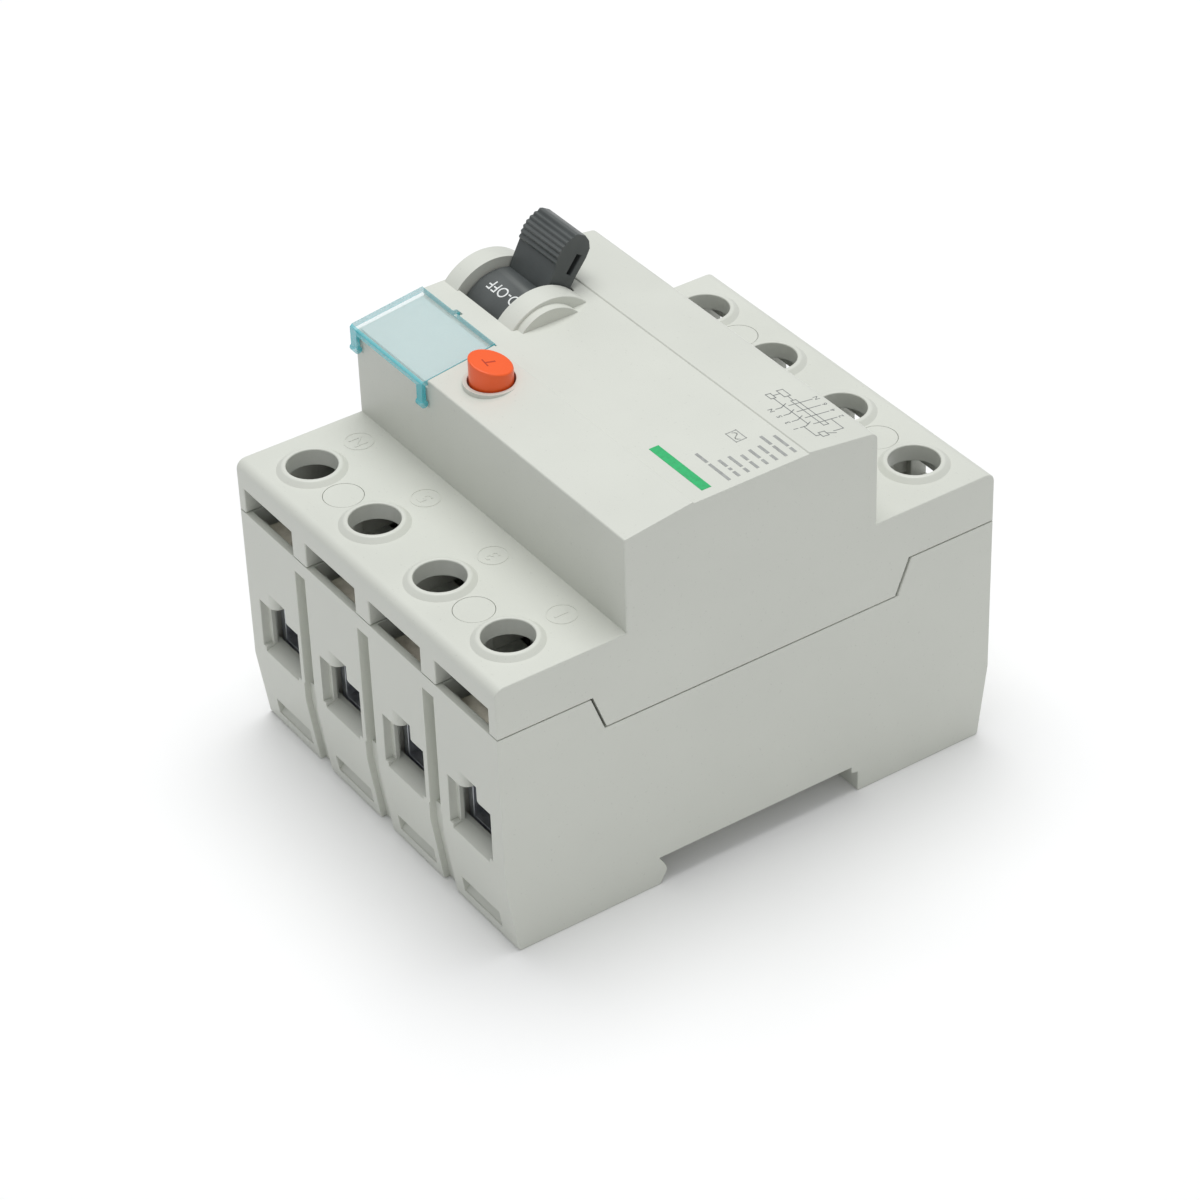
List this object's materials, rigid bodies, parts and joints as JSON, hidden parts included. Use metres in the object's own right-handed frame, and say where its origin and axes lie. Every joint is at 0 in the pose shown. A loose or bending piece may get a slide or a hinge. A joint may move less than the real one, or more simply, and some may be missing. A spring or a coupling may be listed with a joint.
{
  "type": "residual current device",
  "caption": "Rail-mounted residual current device with toggle handle, test button, hinged label window and screw cage terminals at both ends.",
  "frame": {"origin": "middle of the back face, at the bottom of the bounding box", "axes": "+X across the poles, +Y towards the load terminals, +Z out of the back towards the toggle"},
  "size_m": [0.072, 0.09, 0.0763],
  "materials": {
    "housing_plastic": "pale grey moulded thermoset, fine satin",
    "window": "clear, faintly teal moulded plastic",
    "card": "matt white card",
    "toggle_plastic": "dark grey satin moulding with a white position mark",
    "button_plastic": "orange-red semi-gloss moulding",
    "insulator": "dark glass-filled moulding",
    "copper": "bare copper, slightly dulled",
    "board": "green lacquered laminate",
    "ceramic_body": "cream cement body",
    "spring_steel": "bright drawn wire",
    "terminal_steel": "zinc plated, faint grain"
  },
  "bodies": {
    "housing": {"base_housing": "housing_plastic", "front_cover": "housing_plastic", "label_card": "card", "toggle_axle": "spring_steel", "line_strap_n": "copper", "line_strap_l3": "copper", "line_strap_l2": "copper", "line_strap_l1": "copper", "load_conductor_n": "copper", "load_conductor_l3": "copper", "load_conductor_l2": "copper", "load_conductor_l1": "copper", "sensing_core": "insulator", "sensing_winding": "copper", "trip_relay": "insulator", "test_button_spring": "spring_steel", "test_contact": "copper", "test_resistor": "ceramic_body", "circuit_board": "board", "case_rivet_1": "housing_plastic", "case_rivet_2": "housing_plastic", "case_rivet_3": "housing_plastic", "case_rivet_4": "housing_plastic"},
    "toggle": {"toggle_handle": "toggle_plastic", "toggle_spring": "spring_steel"},
    "link": {"drive_link": "spring_steel"},
    "carrier": {"contact_carrier": "insulator", "moving_contact_n": "copper", "moving_contact_l3": "copper", "moving_contact_l2": "copper", "moving_contact_l1": "copper", "contact_spring_n": "spring_steel", "contact_spring_l3": "spring_steel", "contact_spring_l2": "spring_steel", "contact_spring_l1": "spring_steel"},
    "plunger": {"relay_plunger": "spring_steel"},
    "trip_bar": {"trip_bar": "insulator"},
    "button": {"test_button": "button_plastic"},
    "window": {"label_window": "window"},
    "clip_left": {"rail_clip_left": "insulator"},
    "clip_right": {"rail_clip_right": "insulator"},
    "line_screw_n": {"line_screw_n": "terminal_steel"},
    "line_cage_n": {"line_cage_n": "terminal_steel"},
    "line_screw_5": {"line_screw_5": "terminal_steel"},
    "line_cage_5": {"line_cage_5": "terminal_steel"},
    "line_screw_3": {"line_screw_3": "terminal_steel"},
    "line_cage_3": {"line_cage_3": "terminal_steel"},
    "line_screw_1": {"line_screw_1": "terminal_steel"},
    "line_cage_1": {"line_cage_1": "terminal_steel"},
    "load_screw_n": {"load_screw_n": "terminal_steel"},
    "load_cage_n": {"load_cage_n": "terminal_steel"},
    "load_screw_6": {"load_screw_6": "terminal_steel"},
    "load_cage_6": {"load_cage_6": "terminal_steel"},
    "load_screw_4": {"load_screw_4": "terminal_steel"},
    "load_cage_4": {"load_cage_4": "terminal_steel"},
    "load_screw_2": {"load_screw_2": "terminal_steel"},
    "load_cage_2": {"load_cage_2": "terminal_steel"}
  },
  "joints": [
    {"name": "toggle_hinge", "type": "hinge", "parent": "housing", "child": "toggle", "pos_m": [-0.02665, 0.0009, 0.061], "axis": [1, 0, 0], "range_deg": [0, 66]},
    {"name": "link_hinge", "type": "hinge", "parent": "toggle", "child": "link", "pos_m": [-0.0205, 0.0024, 0.0584], "axis": [1, 0, 0], "range_deg": [-66.5, 0.5]},
    {"name": "carrier_hinge", "type": "hinge", "parent": "housing", "child": "carrier", "pos_m": [0, 0.004, 0.03], "axis": [1, 0, 0], "range_deg": [-13.7, 0.1]},
    {"name": "plunger_slide", "type": "slide", "parent": "housing", "child": "plunger", "axis": [0, 1, 0], "range_m": [0, 0.0015]},
    {"name": "trip_bar_hinge", "type": "hinge", "parent": "housing", "child": "trip_bar", "pos_m": [0.0056, -0.0085, 0.047], "axis": [1, 0, 0], "range_deg": [-14.5, 0.1]},
    {"name": "test_button_slide", "type": "slide", "parent": "housing", "child": "button", "axis": [0, 0, -1], "range_m": [0, 0.0025], "stiffness_N_per_m": 400, "springref_m": -0.001, "deforming": ["test_button_spring"]},
    {"name": "window_hinge", "type": "hinge", "parent": "housing", "child": "window", "pos_m": [-0.02575, -0.02295, 0.0614], "axis": [1, 0, 0], "range_deg": [0, 150]},
    {"name": "clip_left_slide", "type": "slide", "parent": "housing", "child": "clip_left", "axis": [0, 1, 0], "range_m": [0, 0.0035]},
    {"name": "clip_right_slide", "type": "slide", "parent": "housing", "child": "clip_right", "axis": [0, 1, 0], "range_m": [0, 0.0035]},
    {"name": "line_cage_n_lift", "type": "slide", "parent": "housing", "child": "line_cage_n", "axis": [0, 0, 1], "range_m": [0, 0.0065]},
    {"name": "line_screw_n_turn", "type": "hinge", "parent": "housing", "child": "line_screw_n", "pos_m": [-0.027, -0.0367, 0.035], "axis": [0, 0, 1], "range_deg": [-2341, 1]},
    {"name": "line_cage_5_lift", "type": "slide", "parent": "housing", "child": "line_cage_5", "axis": [0, 0, 1], "range_m": [0, 0.0065]},
    {"name": "line_screw_5_turn", "type": "hinge", "parent": "housing", "child": "line_screw_5", "pos_m": [-0.009, -0.0367, 0.035], "axis": [0, 0, 1], "range_deg": [-2341, 1]},
    {"name": "line_cage_3_lift", "type": "slide", "parent": "housing", "child": "line_cage_3", "axis": [0, 0, 1], "range_m": [0, 0.0065]},
    {"name": "line_screw_3_turn", "type": "hinge", "parent": "housing", "child": "line_screw_3", "pos_m": [0.009, -0.0367, 0.035], "axis": [0, 0, 1], "range_deg": [-2341, 1]},
    {"name": "line_cage_1_lift", "type": "slide", "parent": "housing", "child": "line_cage_1", "axis": [0, 0, 1], "range_m": [0, 0.0065]},
    {"name": "line_screw_1_turn", "type": "hinge", "parent": "housing", "child": "line_screw_1", "pos_m": [0.027, -0.0367, 0.035], "axis": [0, 0, 1], "range_deg": [-2341, 1]},
    {"name": "load_cage_n_lift", "type": "slide", "parent": "housing", "child": "load_cage_n", "axis": [0, 0, 1], "range_m": [0, 0.0065]},
    {"name": "load_screw_n_turn", "type": "hinge", "parent": "housing", "child": "load_screw_n", "pos_m": [-0.027, 0.0367, 0.035], "axis": [0, 0, 1], "range_deg": [-2341, 1]},
    {"name": "load_cage_6_lift", "type": "slide", "parent": "housing", "child": "load_cage_6", "axis": [0, 0, 1], "range_m": [0, 0.0065]},
    {"name": "load_screw_6_turn", "type": "hinge", "parent": "housing", "child": "load_screw_6", "pos_m": [-0.009, 0.0367, 0.035], "axis": [0, 0, 1], "range_deg": [-2341, 1]},
    {"name": "load_cage_4_lift", "type": "slide", "parent": "housing", "child": "load_cage_4", "axis": [0, 0, 1], "range_m": [0, 0.0065]},
    {"name": "load_screw_4_turn", "type": "hinge", "parent": "housing", "child": "load_screw_4", "pos_m": [0.009, 0.0367, 0.035], "axis": [0, 0, 1], "range_deg": [-2341, 1]},
    {"name": "load_cage_2_lift", "type": "slide", "parent": "housing", "child": "load_cage_2", "axis": [0, 0, 1], "range_m": [0, 0.0065]},
    {"name": "load_screw_2_turn", "type": "hinge", "parent": "housing", "child": "load_screw_2", "pos_m": [0.027, 0.0367, 0.035], "axis": [0, 0, 1], "range_deg": [-2341, 1]}
  ],
  "couplings": [
    {"joint": "link_hinge", "follows": "toggle_hinge", "ratio": -1},
    {"joint": "carrier_hinge", "follows": "toggle_hinge", "ratio": -0.20606},
    {"joint": "trip_bar_hinge", "follows": "plunger_slide", "rad_per_m": -160},
    {"joint": "line_screw_n_turn", "follows": "line_cage_n_lift", "rad_per_m": -6283.2},
    {"joint": "line_screw_5_turn", "follows": "line_cage_5_lift", "rad_per_m": -6283.2},
    {"joint": "line_screw_3_turn", "follows": "line_cage_3_lift", "rad_per_m": -6283.2},
    {"joint": "line_screw_1_turn", "follows": "line_cage_1_lift", "rad_per_m": -6283.2},
    {"joint": "load_screw_n_turn", "follows": "load_cage_n_lift", "rad_per_m": -6283.2},
    {"joint": "load_screw_6_turn", "follows": "load_cage_6_lift", "rad_per_m": -6283.2},
    {"joint": "load_screw_4_turn", "follows": "load_cage_4_lift", "rad_per_m": -6283.2},
    {"joint": "load_screw_2_turn", "follows": "load_cage_2_lift", "rad_per_m": -6283.2}
  ]
}
